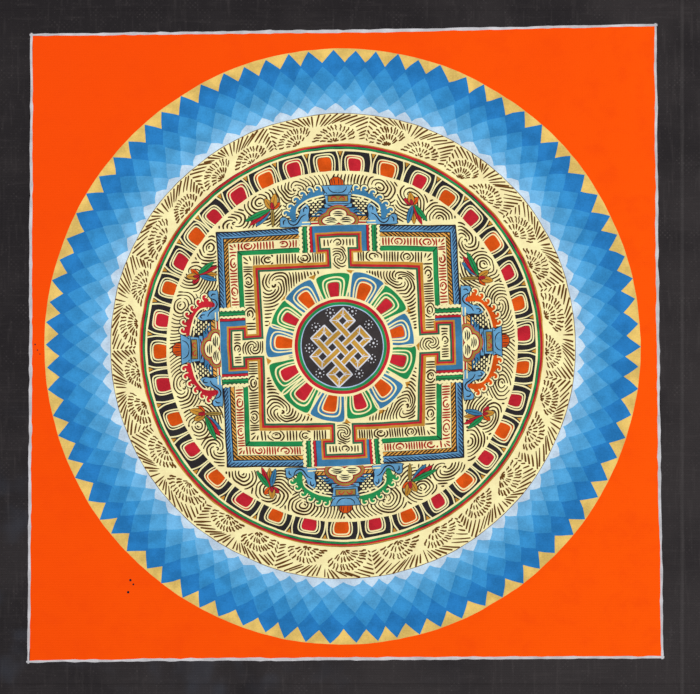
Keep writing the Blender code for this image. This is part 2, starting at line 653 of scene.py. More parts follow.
def paint(name):
    """The paint of that name, made when it is first asked for. Every gold is one colour."""
    if name not in palette:
        if name.startswith("gold_"):
            material = GOLD
        else:
            material = painted_finish(name, COLOURS[name], THIN_EDGES.get(name))
        palette[name] = Paint(name, material)
    return palette[name]


COLOURS = {
    "yellow_ring": tint(229, 193, 106),
    "deep_blue": tint(37, 121, 188),
    "clear_blue": tint(52, 140, 201),
    "sky_blue": tint(79, 161, 214),
    "light_blue": tint(108, 178, 225),
    "pale_blue": tint(198, 219, 241),
    "ground": tint(42, 39, 41),
    "brown_black": tint(60, 40, 22),
    "leaf_brown": tint(98, 62, 24),
    "red": tint(192, 34, 48),
    "band_red": tint(166, 34, 24),
    "orange_core": tint(216, 82, 14),
    "green": tint(34, 140, 78),
    "dark_green": tint(50, 104, 74),
    "olive": tint(160, 132, 62),
    "gate_blue": tint(60, 122, 164),
    "braid_blue": tint(80, 130, 170),
    "navy": tint(38, 56, 84),
    "roof_blue": tint(100, 158, 198),
    "rope_light": tint(104, 160, 202),
    "ochre": tint(198, 140, 50),
    "amber": tint(230, 166, 74),
    "brush_black": tint(36, 32, 38),
    "disc_black": tint(58, 53, 54),
    "knot_ochre": tint(192, 146, 58),
    "disc_line": tint(170, 192, 222),
    "white_line": tint(214, 216, 224),
    "border_white": tint(198, 197, 201),
}


# Where a stroke of this paint thins out, the gold below shows through
THIN_EDGES = {"brown_black": tint(172, 122, 60), "leaf_brown": tint(196, 146, 78)}


# ---------------------------------------------------------------- the ring of blue rays

RAY_ROWS = (
    # paint, radius of the tips, radius of the valleys, how blunt the tips are
    ("deep_blue", 94.6, 90.2, 0.97),
    ("clear_blue", 89.3, 85.4, 0.95),
    ("sky_blue", 84.9, 80.9, 0.93),
    ("light_blue", 80.6, 77.2, 0.86),
    ("pale_blue", 77.0, 74.8, 0.76),
)


def blue_rays():
    """Rows of overlapping rays: each row's tips stand between the tips of the row outside it."""
    random = Random(11)
    pitch = 2 * pi / RAY_COUNT
    turns = [pitch * (i + random.uniform(-0.13, 0.13)) for i in range(RAY_COUNT)]
    paint("yellow_ring").band(circle(CIRCLE), circle(86.0, step=86.0 / CIRCLE), RAY_COAT)
    for row, (name, tip_radius, valley_radius, blunt) in enumerate(RAY_ROWS):
        floor = RAY_ROWS[row + 1][2] - 1.6 if row + 1 < len(RAY_ROWS) else LEAF_RING[1] - 1.0
        outline = []
        for i in range(RAY_COUNT):
            here, after, further = (
                turns[(i + k) % RAY_COUNT] + 2 * pi * ((i + k) // RAY_COUNT) for k in range(3)
            )
            if row % 2:  # the tips of every other row stand on the half pitch
                valley, tip, end = here, (here + after) / 2, after
            else:
                valley, tip, end = (here + after) / 2, after, (after + further) / 2
            tip_at = tip_radius + random.uniform(-0.45, 0.35)
            dip = valley_radius + random.uniform(-0.35, 0.35)
            for t in (0.0, 0.35, 0.7, 0.92, 1.0):
                outline.append((dip + (tip_at - dip) * t ** blunt, valley + (tip - valley) * t))
            for t in (0.92, 0.7, 0.35):
                outline.append((dip + (tip_at - dip) * t ** blunt, end + (tip - end) * t))
        outer = [(r * cos(t), r * sin(t)) for r, t in outline]
        inner = [(floor * cos(t), floor * sin(t)) for _, t in outline]
        paint(name).band(outer, inner, RAY_COAT + 1 + row)


# ---------------------------------------------------------------- the gold ring of curled leaves

# The fans, clockwise, in degrees from the right: where each one begins, and where its stem stands
FANS = (
    (132, 120), (109, 97), (83.5, 72), (60.5, 50), (39, 27), (16, 2), (-8.5, -20), (-32.5, -45), (-56, -69.5),
    (-82, -95.5), (-107.5, -119.5), (-130.5, -145), (-157, -169), (-179, -192.5), (-203.5, -217.5),
)
LEFT_LEAF = ((-13.3, 0.4), (-13.6, 2.4), (-12.1, 5.0), (-8.9, 6.8), (-5.2, 7.0), (-2.5, 6.1), (-1.6, 4.2))
RIGHT_LEAF = ((-1.9, 0.5), (0.0, 3.2), (2.2, 5.1), (5.0, 5.9), (8.2, 5.3), (10.2, 3.8), (10.6, 1.5))
# Where each gold vein of a fan ends, and where it starts
LEFT_FAN = (
    ((-14.6, 1.2), (-14.0, 0.9)), ((-14.6, 3.9), (-14.0, 3.0)), ((-14.6, 6.7), (-12.4, 5.8)),
    ((-14.5, 9.4), (-9.4, 7.4)), ((-9.6, 9.4), (-5.6, 7.6)), ((-4.2, 9.4), (-2.1, 6.8)),
    ((-0.4, 9.4), (-0.8, 6.2)),
)
RIGHT_FAN = (
    ((0.3, 9.4), (-0.3, 6.0)), ((4.8, 9.4), (1.6, 5.8)), ((9.6, 9.4), (4.8, 6.7)), ((13.2, 9.4), (8.4, 6.1)),
    ((13.2, 6.5), (10.6, 4.6)), ((13.2, 3.9), (11.2, 2.7)), ((13.2, 1.2), (11.1, 1.0)),
)
LEAF_HALVES = (
    # leaf, the point its teeth point to, veins, and how wide that half is drawn
    (LEFT_LEAF, (-6.8, 0.5), LEFT_FAN, 14.8),
    (RIGHT_LEAF, (4.6, 0.2), RIGHT_FAN, 13.4),
)


def leaf_ring():
    """Pairs of curled leaves on a stem, under a fan of veins: gold, with dark strokes between its lines."""
    random = Random(5)
    inner, outer = LEAF_RING
    degree = radians(1) * (inner + 3.0)
    brown = paint("leaf_brown")
    paint("ground").dab(circle(inner + 1.0), GROUND_COAT)
    hole = circle(inner - 0.3, step=(inner - 0.3) / outer)
    paint("gold_leaf_ring").band(circle(outer), hole, GROUND_COAT + 1)
    brown.line(circle(outer), 0.18, GROUND_COAT + 1, closed=True, swell=0.6)
    for n, (seam, stem) in enumerate(FANS):
        following = FANS[(n + 1) % len(FANS)][0] - (360 if n + 1 == len(FANS) else 0)
        for half, reach in zip(LEAF_HALVES, ((seam - stem) * degree, (stem - following) * degree)):
            leaf, focus, fan, drawn = half
            wide, tall = reach / drawn, random.uniform(0.9, 1.02)

            def draw(points, width, ends):
                bent = on_ring([(u * wide, v) for u, v in points], radians(stem), inner)
                brown.line(bent, width, GROUND_COAT + 2, ends=ends, swell=0.3)

            path = smooth([(u, v * tall) for u, v in leaf], step=0.5)
            comb(draw, path, focus, (0.68, 0.99), 1.36, random)
            comb(draw, path, focus, (0.33, 0.60), 2.2, random)
            comb(draw, path, focus, (0.06, 0.26), 4.2, random)
            veins(draw, fan, tall, random)


def comb(draw, path, focus, shares, pitch, random):
    """A row of strokes that point from a leaf's outline to its focus, between two shares of the way out."""
    count = round(len(path) * 0.5 / pitch)
    for n in range(count):
        k = len(path) * (0.01 + 0.95 * (n + 0.5 + random.uniform(-0.12, 0.12)) / count)
        stroke = []
        for t in (0.0, 0.35, 0.7, 1.0):
            x, y = path[min(max(round(k + (1 - t) * 1.4), 0), len(path) - 1)]
            share = shares[0] + (shares[1] - shares[0]) * t + random.uniform(-0.03, 0.03) * (t in (0, 1))
            stroke.append((focus[0] + (x - focus[0]) * share, focus[1] + (y - focus[1]) * share))
        draw(stroke, random.uniform(0.50, 0.66), (max(0.4, 0.8 * shares[0]), 0.85))


def veins(draw, fan, tall, random):
    """The dark strokes between a fan's gold veins, blunt at the outer end."""
    for (end_a, start_a), (end_b, start_b) in zip(fan, fan[1:]):
        step = end_b[0] - end_a[0], end_b[1] - end_a[1]
        way = end_a[0] + end_b[0] - start_a[0] - start_b[0], end_a[1] + end_b[1] - start_a[1] - start_b[1]
        across = abs(step[0] * way[1] - step[1] * way[0]) / hypot(*way)
        count = max(1, round(across / 1.14))
        crowd = min(1.0, hypot(start_b[0] - start_a[0], start_b[1] - start_a[1]) / count)
        for j in range(count):
            t = (j + 0.5 + random.uniform(-0.1, 0.1)) / count
            start, end = ((a[0] + (b[0] - a[0]) * t, a[1] + (b[1] - a[1]) * t)
                          for a, b in ((start_a, start_b), (end_a, end_b)))
            start = (start[0], start[1] * tall - 0.25)
            if end[1] > 9.3:
                end = (end[0], 9.3 + random.uniform(-0.45, 0.3))
            late = random.choice((0.0, 0.0, 0.05, 0.14)) + (1 - crowd) * 0.5 * (j % 2)
            start = (start[0] + (end[0] - start[0]) * late, start[1] + (end[1] - start[1]) * late)
            draw(straight([start, end], step=0.8), random.uniform(0.48, 0.64), (0.5 * crowd, 0.9))


# ---------------------------------------------------------------- the rings of lines and petals

OCHRE_RING = 63.95
COLOURED_RINGS = (("red", 63.55, 0.66), ("green", 62.8, 0.62))      # paint, radius, width
GOLD_RING = 62.05
PETAL_BORDER = ((0.28, -0.1), (0.32, 2.2), (0.5, 4.0), (1.2, 6.2))
PETAL_ARCH = ((-2.95, -0.1), (-3.3, 2.1), (-3.15, 4.2), (-2.3, 5.2), (0.0, 5.4))
PETAL_LINE = ((-2.15, -0.1), (-2.5, 2.1), (-2.4, 3.6), (-1.8, 4.5), (0.0, 4.7))
PETAL_CORE = ((-1.8, 0.35), (-2.15, 2.1), (-2.1, 3.5), (-1.6, 4.2), (0.0, 4.4))


def petal_ring():
    """Thin coloured rings, and rounded petals whose cores are red and orange by turns."""
    coat = GROUND_COAT + 1
    wander = []
    for k in range(240):
        t = 2 * pi * k / 240
        r = OCHRE_RING + 0.2 * sin(2 * t + 0.5) + 0.12 * sin(5 * t)
        wander.append((r * cos(t), r * sin(t)))
    paint("ochre").line(wander, 0.45, coat, closed=True, swell=0.6)
    for name, radius, width in COLOURED_RINGS:
        paint(name).line(circle(radius), width, coat + 1, closed=True, swell=0.6)
    gold = paint("gold_petal_lines")
    gold.line(circle(GOLD_RING), 0.66, coat, closed=True, swell=0.3)
    random = Random(23)

    def petal_turn(i):
        """Even steps, but drawn closer to make up for a start that was too wide."""
        return radians(3.4 + 360 / PETAL_COUNT * i - 6.9 * exp(-((i - 17.5) / 5.2) ** 2))

    for i in range(PETAL_COUNT):
        middle = petal_turn(i) + random.uniform(-0.008, 0.008)
        border = (petal_turn(i) + petal_turn(i + 1)) / 2
        wide = random.uniform(0.88, 1.08)
        tall = random.uniform(0.88, 1.02)
        lean = random.uniform(-0.5, 0.5)

        def shape(half, closed=False, grow=1.0):
            points = [(x * wide * grow + lean * y / 5, y * tall * grow) for x, y in mirrored(half)]
            return on_ring(smooth(points, closed=closed), middle, PETAL_RING)

        core = paint("red" if (i % 2 == 0) == (i < 13) else "orange_core")
        if random.random() < 0.35:  # paint that strays between the two arches
            core.dab(shape(PETAL_CORE, True, 1.25), GROUND_COAT + 0.5)
        core.dab(shape(PETAL_CORE, True), coat)
        gold.line(shape(PETAL_LINE), 0.44, coat, swell=0.3)
        gold.line(shape(PETAL_ARCH), 0.42, coat, swell=0.3)
        for side in (-1, 1):
            bent = smooth([(side * x, y) for x, y in PETAL_BORDER])
            gold.line(on_ring(bent, border, PETAL_RING), 0.46, coat, swell=0.25)
        wedge = [(-0.7, 6.2), (0.7, 6.2), (0.0, 4.6)]
        paint("ochre").dab(on_ring(straight(wedge, closed=True), border, PETAL_RING), coat)
    gold.line(circle(PETAL_RING - 0.15), 0.7, coat, closed=True, swell=0.3)


# ---------------------------------------------------------------- cloud swirls


class Eye:
    """The middle of one cloud swirl. Its strokes are longer by stretch along the direction turn."""

    def __init__(self, x, y, turn=0.0, stretch=1.25, opening=0.0, arms=0, hand=1, strength=0.0, gap=0.35):
        self.x, self.y = x, y
        self.turn = turn
        self.stretch = stretch
        self.opening = opening          # where its strokes start
        self.arms = arms                # how many strokes wind out of it; rings if none
        self.hand = hand                # which way they wind
        self.strength = strength        # how much further than its neighbours' they reach
        self.gap = gap                  # how wide its two inner rings stand open, in radians

    def away(self, x, y):
        """How many millimetres from the eye, counted across its strokes."""
        dx, dy = x - self.x, y - self.y
        along = dx * cos(self.turn) + dy * sin(self.turn)
        over = -dx * sin(self.turn) + dy * cos(self.turn)
        return hypot(along / self.stretch, over) - self.strength

    def point(self, radius, angle):
        bend = self.opening + angle
        radius *= 1 + 0.12 * noise.noise(Vector((cos(bend) * 1.6, sin(bend) * 1.6, self.x + radius * 0.12)))
        along, over = radius * self.stretch * cos(bend), self.hand * radius * sin(bend)
        return (
            self.x + along * cos(self.turn) - over * sin(self.turn),
            self.y + along * sin(self.turn) + over * cos(self.turn),
        )

    def iris(self, pitch):
        """The mark in the middle: a comma where arms wind out of it, a short curved dash in rings."""
        size, count = (0.42 * max(1.0, self.arms * 0.16), 9) if self.arms else (0.45, 6)
        return [self.point(size * pitch, k * 0.5) for k in range(count)]

    def trails(self, pitch, reach, step=0.32):
        """Its strokes, a pitch apart, as rows of points: rings, or arms wound off a circle."""
        if not self.arms:
            for n in range(int(reach / pitch)):
                radius = pitch * (n + 1.25)
                gap = self.gap if n < 2 else 0.0
                steps = ceil((2 * pi - gap) * radius * self.stretch / step)
                yield [self.point(radius, gap / 2 + (2 * pi - gap) * k / steps) for k in range(steps + 1)]
        hub = self.arms * pitch / (2 * pi)
        for arm in range(self.arms):
            trail = []
            for k in range(int((reach / hub) ** 2 * hub / 2 / step)):
                wound = (0.4 + 2 * k * step / hub) ** 0.5
                angle = wound - atan2(wound, 1.0) + 2 * pi * arm / self.arms
                trail.append(self.point(hub * hypot(1.0, wound), angle))
            yield trail


def hatched_row(brush, place, eyes, ends, edges, coat, random, rings=3):
    """Strokes across a row from one end to the other, which bow round its eyes."""
    low, high = edges
    pitch, width = 0.72, 0.55
    swirls(brush, eyes, lambda x, y: low < y < high and ends[0] < x < ends[1], place, coat, pitch, width,
           (rings + 0.1) * pitch)
    stops = [ends[0]]
    for eye in sorted(eyes, key=lambda eye: eye.x):
        reach = (rings + 0.25) * pitch * eye.stretch + 0.4
        stops += [eye.x - reach, eye.x + reach]
    stops.append(ends[1])
    for left, right in zip(stops[::2], stops[1::2]):
        count = max(0, round((right - left) / 0.88))
        for n in range(count):
            along = left + (right - left) * (n + 0.5 + random.uniform(-0.06, 0.06)) / count
            lean = random.uniform(-0.08, 0.08)
            stroke = place([(along - lean, low), (along + lean, high)])
            brush.line(stroke, random.uniform(0.48, 0.60), coat, ends=0.7)


def swirls(dark, eyes, inside, place, coat, pitch, width, reach=15.0):
    """Dark strokes round or out of every eye, as far as the next eye's or the edge, with gold between."""
    for eye in eyes:
        others = [other for other in eyes if other is not eye]
        dark.line(place(eye.iris(pitch)), width * max(0.9, eye.arms * 0.15), coat, ends=(0.9, 0.5))
        for trail in eye.trails(pitch, reach):
            run = []
            for x, y in [*trail, (0.0, 0.0)]:
                own = eye.away(x, y) + 0.22 * pitch
                if (x or y) and inside(x, y) and all(own < other.away(x, y) for other in others):
                    run.append((x, y))
                else:
                    if len(run) > 3:
                        dark.line(place(run[::2] + run[-1:]), width, coat, ends=0.55, swell=0.3)
                    run = []


GROUND_EYES = ((-32.2, 41.0), (-23.8, 46.6), (-12.2, 50.4), (14.2, 50.4), (24.2, 46.2), (33.4, 40.0))


def cloud_ground():
    """Swirls all over the ground between the petals and the palace."""
    random = Random(41)
    eyes = []
    for quarter in range(4):
        for n, (along, outward) in enumerate(GROUND_EYES):
            spot = (along + random.uniform(-0.8, 0.8), outward + random.uniform(-0.4, 0.4))
            x, y = on_side([spot], quarter)[0]
            eyes.append(Eye(
                x, y, atan2(y, x) + pi / 2 + random.uniform(-0.6, 0.6), random.uniform(1.05, 1.35),
                random.uniform(0, 2 * pi), 0 if n % 2 else 6, random.choice((-1, 1)),
                random.uniform(-0.6, 0.9),
            ))
    wall = WALLS[0][1] + 0.25

    def on_ground(x, y):
        dx, dy = x - PALACE[0], y - PALACE[1]
        c, s = cos(PALACE_TURN), sin(PALACE_TURN)
        return hypot(x, y) < PETAL_RING - 0.7 and max(abs(dx * c + dy * s), abs(dy * c - dx * s)) > wall

    paint("gold_clouds").dab(circle(PETAL_RING), GROUND_COAT + 1)
    swirls(paint("brown_black"), eyes, on_ground, list, GROUND_COAT + 2, 0.92, 0.58)


# ---------------------------------------------------------------- the palace

WALLS = (
    # paint and half width at the gates, from the outside in
    ("braid_blue", 38.2),
    ("amber", 36.0),
    ("gold_palace", 34.65),
    ("green", 31.75),
    ("gold_palace", 30.25),
)
WALL_EDGES = ((38.05, 0.5), (36.05, 0.34), (34.7, 0.2), (31.75, 0.22))      # half width, line width
COURT_HALF = 24.7
COURT_LINES = (
    # paint, half width of the court's line, how far it stands off a gate's opening
    ("ochre", 26.9, 1.75),
    ("red", 26.05, 1.2),
    ("dark_green", 25.35, 0.62),
    ("gold_palace", COURT_HALF, 0.0),
)
GATE_SHIFT = 0.8                # how far each gate stands to the right of the middle of its side
OPENING_SHIFT = 0.4             # and its opening
HEAD = (5.6, 31.4, 34.5)        # the head of a gate's T-shaped opening: half width, underside, top
NECK = 2.7                      # half the width of its neck
GATE_TOP = 38.4
GATE_HALF = 8.5                 # the blue field round the opening
POSTS_HALF = 12.9               # the posts beside it


def square(half):
    """The outline of a square of that half width."""
    return straight([(-half, half), (half, half), (half, -half), (-half, -half)], closed=True)


def opening(off):
    """The T shape of a gate's opening, grown by off all round."""
    half, under, top = HEAD[0] + off, HEAD[1] - off, HEAD[2] + off
    neck = NECK + off
    low = COURT_HALF - 0.5
    shape = mirrored([(-neck, low), (-neck, under), (-half, under), (-half, top)])
    return straight(shape, closed=True, step=1.0)


def wall_line(brush, half, width, coat):
    """A line along each side of a square, as far as the gates."""
    for quarter in range(4):
        for side in (-1, 1):
            run = straight([(side * (POSTS_HALF - 0.2) + GATE_SHIFT, half), (side * (half + 0.1), half)])
            brush.line(on_side(run, quarter), width, coat, swell=0.25)


def hatched_band(brush, low, high, inner, random):
    """Hatched rows between two squares, with three short strokes that fan out in each corner."""
    middle = (low + high) / 2
    for quarter in range(4):
        for side in (-1, 1):
            def place(run):
                return on_side([(side * x, y) for x, y in run], quarter)

            start = inner + side * GATE_SHIFT
            eyes = [Eye(start + (middle - start) * (t + random.uniform(-0.05, 0.05)), middle, 0.0,
                        random.uniform(1.15, 1.6), random.uniform(0, 2 * pi), hand=random.choice((-1, 1)),
                        gap=random.choice((0.3, 1.3))) for t in (0.27, 0.72)]
            hatched_row(brush, place, eyes, (start, low - 0.1), (low, high), HATCH_COAT, random, 2)
            for share in (0.35, 0.95)[:1 if side < 0 else 2]:
                stroke = [(low + (high - low) * share * t, low + (high - low) * t) for t in (0.45, 0.95)]
                brush.line(place(stroke), 0.52, HATCH_COAT, ends=(0.4, 0.7))


def palace():
    """Nested walls round the court, one square of paint over the other."""
    black = paint("brush_black")
    random = Random(67)
    for n, (name, half) in enumerate(WALLS):
        paint(name).dab(in_palace(square(half)), PALACE_COAT + n)
    lines = HATCH_COAT
    for half, width in WALL_EDGES:
        wall_line(black, half, width, lines)
    wall_line(paint("rope_light"), 36.45, 0.32, lines)
    hatched_band(paint("band_red"), 32.0, 34.35, POSTS_HALF + 0.5, random)
    hatched_band(paint("brown_black"), 27.0, 30.0, NECK + 2.5, random)
    for quarter in range(4):
        for side in (-1, 1):
            braid(quarter, side, lines, random)
            mitre = [(side * 31.75, 31.75), (side * 30.3, 30.3)]
            black.line(on_side(mitre, quarter), 0.26, lines)


def braid(quarter, side, coat, random):
    """Slanting brush strokes along the blue and the amber wall, from the corner to the gate."""
    along = 37.6
    stop = POSTS_HALF + side * GATE_SHIFT + 0.3
    while along > stop + 1.0:
        stroke = [(side * (along + 0.2), 37.95), (side * (along - 0.9), 37.45), (side * (along - 1.9), 36.7)]
        slant = on_side(smooth(stroke), quarter)
        paint("navy").line(slant, random.uniform(0.42, 0.58), coat, ends=(0.6, 0.3))
        light = [(side * (along - 0.6), 37.9), (side * (along - 1.9), 37.1)]
        paint("rope_light").line(on_side(light, quarter), 0.36, coat, ends=0.4)
        along -= random.uniform(1.15, 1.5)
    along = 35.0
    while along > stop + 0.4:
        stroke = [(side * (along + 0.85), 34.85), (side * (along - 0.85), 35.9)]
        paint("brown_black").line(on_side(stroke, quarter), random.uniform(0.40, 0.54), coat, ends=(0.8, 0.4))
        along -= random.uniform(1.2, 1.45)


def court():
    """The court round the lotus: coloured lines that run out round each gate's opening, and its swirls."""
    for n, (name, half, _) in enumerate(COURT_LINES):
        paint(name).dab(in_palace(square(half)), GATE_COAT + 1 + n)
    eyes = [Eye(-20.7, 20.3, 1.1, 1.3, 0.6, 8, -1), Eye(19.6, 20.6, -0.8, 1.2, 2.0, 8, -1),
            Eye(20.0, -20.0, 0.9, 1.3, 4.0, 8), Eye(-19.6, -20.4, -0.9, 1.2, 5.0, 8)]
    middle = (LOTUS[0] - PALACE[0], LOTUS[1] - PALACE[1])

    def in_court(x, y):
        turn = degrees(atan2(y - middle[1], x - middle[0]) + PALACE_TURN)
        reach = min(LOTUS_PETALS, key=lambda petal: abs((turn - petal[0] + 180) % 360 - 180))[2]
        away = hypot(x - middle[0], y - middle[1])
        return max(abs(x), abs(y)) < COURT_HALF - 0.45 and away > LOTUS_BASE + reach + 0.15

    swirls(paint("brown_black"), eyes, in_court, in_palace, GATE_COAT + 5, 0.86, 0.58, 24.0)


def gates():
    """A T-shaped opening in a blue field, between striped posts, in the middle of each side."""
    gold = paint("gold_palace")
    black = paint("brush_black")
    random = Random(71)
    for quarter in range(4):
        def shape(points):
            return on_side([(x + GATE_SHIFT, y) for x, y in points], quarter)

        def in_gate(points):
            return on_side([(x + OPENING_SHIFT, y) for x, y in points], quarter)

        def block(name, left, right, low, high, coat):
            corners = [(left, low), (right, low), (right, high), (left, high)]
            paint(name).dab(shape(straight(corners, closed=True)), coat)

        block("ground", -POSTS_HALF, POSTS_HALF, 30.1, GATE_TOP + 0.3, GATE_COAT - 1)
        block("gate_blue", -GATE_HALF, GATE_HALF, 30.2, GATE_TOP, GATE_COAT)
        for side in (-1, 1):
            for name, near, far in (("red", 8.7, 9.4), ("green", 10.4, 11.7)):
                block(name, *sorted((side * near, side * far)), 30.2, GATE_TOP, GATE_COAT)
            for post, sway, width in ((9.9, 0.14, 0.66), (12.4, 0.22, 0.85)):
                rise_by = [30.1 + 0.2 * k for k in range(43)]
                wavy = [(side * (post + sway * sin(v * 4.6 + side + quarter)), v) for v in rise_by]
                gold.line(shape(wavy), width, GATE_COAT + 1, swell=0.4)
            for post in (8.6, 10.35, 11.3):
                edge = straight([(side * post, 30.2), (side * post, GATE_TOP)])
                black.line(shape(edge), 0.2, GATE_COAT + 1)
        for n, (name, _, off) in enumerate(COURT_LINES):
            paint(name).dab(in_gate(opening(off)), GATE_COAT + 1.45 + n)

        # The strokes in the opening: a hatched row in its head and a swirl in its neck
        half, under, top = HEAD
        eye = Eye(random.uniform(-1.0, 1.0), (under + top) / 2, 0.0, 1.3, random.uniform(0, 6), gap=1.0)
        ends, edges = (0.6 - half, half - 0.6), (under + 0.5, top - 0.5)
        hatched_row(paint("brown_black"), in_gate, [eye], ends, edges, GATE_COAT + 5, random, 2)
        swirl = Eye(random.uniform(-0.4, 0.4), 28.2 + random.uniform(-0.4, 0.4), random.uniform(0, pi), 1.2,
                    random.uniform(0, 6), 4)

        def in_neck(x, y):
            return COURT_HALF - 0.2 < y <= under + 0.1 and abs(x) < NECK - 0.5

        swirls(paint("brown_black"), [swirl], in_neck, in_gate, GATE_COAT + 5, 0.72, 0.5)


# ---------------------------------------------------------------- the crown over each gate

CROWN_COLOURS = ("gate_blue", "orange_core", "green", "red")
CROWN_SHIFT = 0.7
# The outlines of the right half, as points along the side and outwards
CREST = (
    (4.6, 48.3), (4.9, 49.6), (7.3, 49.5), (9.6, 48.7), (11.6, 47.3), (13.3, 45.7), (14.8, 44.7),
    (15.8, 43.2), (15.2, 41.2), (14.6, 39.9), (13.5, 40.0), (13.5, 41.6), (13.4, 43.4), (11.9, 45.4),
    (9.6, 47.0), (7.0, 47.8),
)
CURLS = (
    # where each curl stands, and how far it is turned
    (6.3, 50.2, 0.1), (8.9, 49.8, -0.1), (11.4, 48.6, -0.35), (13.5, 46.9, -0.55), (15.3, 44.9, -0.75),
    (16.8, 42.9, -0.9),
)
HOOK = ((-1.35, -0.9), (-1.25, 0.2), (-0.5, 0.95), (0.5, 0.85), (0.9, 0.1), (0.45, -0.45), (-0.1, -0.2))
CURL_CORE = ((-1.0, -1.6), (-0.9, 0.2), (-0.2, 0.7), (0.6, 0.3), (0.2, -0.3), (0.1, -1.6))
SCROLL = (
    (9.4, 38.6), (9.3, 40.4), (9.5, 42.0), (9.2, 43.3), (9.3, 44.4), (9.9, 45.4), (10.9, 45.4),
    (11.9, 44.3), (12.3, 42.6), (13.0, 41.1), (14.4, 40.2), (16.0, 41.0), (17.3, 41.8), (18.6, 41.4),
    (18.7, 39.4), (18.2, 38.6),
)
SCROLL_STROKES = (
    ((10.4, 42.2), (11.6, 41.6), (12.4, 40.6), (13.2, 39.5), (14.4, 39.0), (15.6, 39.6), (16.2, 41.0)),
    ((9.9, 43.9), (10.4, 44.5), (11.0, 44.0), (11.0, 43.0)),
    ((16.9, 40.9), (17.6, 40.4), (17.6, 39.4)),
)
SLABS = (
    # paint, and the right half's corners from the bottom up
    ("gate_blue", ((8.9, 41.2), (8.2, 42.3), (7.3, 42.6), (6.0, 43.9))),
    ("amber", ((9.9, 39.9), (8.8, 41.3))),
    ("roof_blue", ((4.3, 43.8), (4.5, 45.2))),
    ("roof_blue", ((3.9, 45.2), (4.3, 48.0))),
    ("olive", ((3.2, 45.9), (3.2, 47.7))),
    ("roof_blue", ((4.7, 48.0), (4.1, 49.0), (5.0, 51.0))),
    ("orange_core", ((2.0, 51.0), (2.1, 52.5), (0.8, 53.5))),
)
ROOF_STROKES = (
    # the stroke's points, and its width
    (((4.6, 41.7), (6.0, 42.3), (7.6, 41.7)), 0.4),
    (((4.9, 42.8), (5.8, 43.3), (6.6, 42.9)), 0.35),
    (((0.0, 48.6), (1.7, 48.9), (2.7, 49.8), (2.9, 50.6)), 0.34),
    (((3.4, 48.3), (3.9, 49.0)), 0.3),
    (((0.6, 51.2), (0.8, 53.2)), 0.3),
    (((1.4, 51.2), (1.5, 52.8)), 0.3),
    (((1.2, 44.3), (3.4, 44.8)), 0.4),
)
PANEL_CURL = ((0.3, 46.4), (1.0, 47.3), (2.0, 47.2), (2.1, 46.5), (1.5, 46.5))
CLOUD = (
    # each lobe's middle, and how far it reaches sideways and outwards
    (0.0, 41.9, 2.3, 1.25), (-2.4, 39.9, 2.4, 1.1), (2.4, 39.9, 2.4, 1.1),
)


def crowns():
    """Over each gate: a stepped roof with a cloud, strings of pearls, and a crest of curling waves."""
    for quarter, accent in enumerate(CROWN_COLOURS):
        def shape(points):
            return on_side([(a + CROWN_SHIFT, o) for a, o in points], quarter)

        roof(shape)
        for side in (-1, 1):
            def half(points):
                return shape([(side * a, o) for a, o in points])

            pearls(half)
            crest(half, accent)
        cloud(shape)


def roof(shape):
    """Stepped slabs with thin dark outlines, brush strokes on them, and a slanted row under the eaves."""
    black = paint("brush_black")
    gold = paint("gold_crown_lines")
    coat = CROWN_COAT
    back = mirrored([(-12.6, 38.5), (-12.6, 43.0), (-8.0, 46.6)])
    paint("ground").dab(shape(straight(back, closed=True)), coat)
    for n, (name, corners) in enumerate(SLABS):
        outline = straight(mirrored([(-a, o) for a, o in corners]), closed=True)
        paint(name).dab(shape(outline), coat + 1 + 0.3 * n)
        black.line(shape(outline), 0.26, coat + 3, closed=True, swell=0.3)
    for k in range(13):
        along = -8.7 + 1.45 * k
        black.line(shape([(along - 0.5, 40.1), (along + 0.5, 41.1)]), 0.42, coat + 3, ends=0.5)
    for side in (-1, 1):  # brush strokes on the blue, and scrolls in the panel
        for stroke, width in ROOF_STROKES:
            black.line(shape(smooth([(side * a, o) for a, o in stroke])), width, coat + 3, ends=0.5)
        curl = smooth([(side * a, o) for a, o in PANEL_CURL])
        paint("red").line(shape(curl), 0.36, coat + 4, ends=0.5)
    for outward, half in ((39.7, 11.7), (38.65, 11.9)):
        gold.line(shape(straight([(-half, outward), (half, outward)])), 0.55, coat + 1, swell=0.3)
    strip = straight([(-11.8, 39.0), (11.8, 39.0), (11.8, 39.4), (-11.8, 39.4)], closed=True)
    paint("red").dab(shape(strip), coat + 1)


def cloud(shape):
    """Three gold lobes with dark stripes, in a halo of red and ochre lines."""

    def lobe(grow, along, outward, wide, tall):
        turns = [t * pi / 12 for t in range(24)]
        points = [(along + (wide + grow) * cos(t), outward + (tall + grow) * sin(t)) for t in turns]
        return [(a, max(o, 38.5)) for a, o in points]

    coat = CROWN_COAT + 5
    halo = (("red", 1.75), ("olive", 1.5), ("red", 0.75), ("brush_black", 0.5), ("gold_crown", 0.3))
    for n, (name, grow) in enumerate(halo):
        for place in CLOUD:
            paint(name).dab(shape(lobe(grow, *place)), coat + n)
    for along, outward, wide, tall in CLOUD:
        for lift, long in ((-0.62, 0.6), (0.0, 0.8), (0.62, 0.55)):
            stripe = smooth([(along - wide * long, outward + lift), (along, outward + lift + 0.15),
                             (along + wide * long, outward + lift - 0.1)])
            paint("brush_black").line(shape(stripe), 0.42, coat + 5, ends=0.4)
    for side in (-1, 1):  # the creases between the lobes
        crease = smooth([(side * 0.9, 40.2), (side * 1.9, 40.5), (side * 2.7, 40.9)])
        paint("brush_black").line(shape(crease), 0.3, coat + 5, ends=0.4)


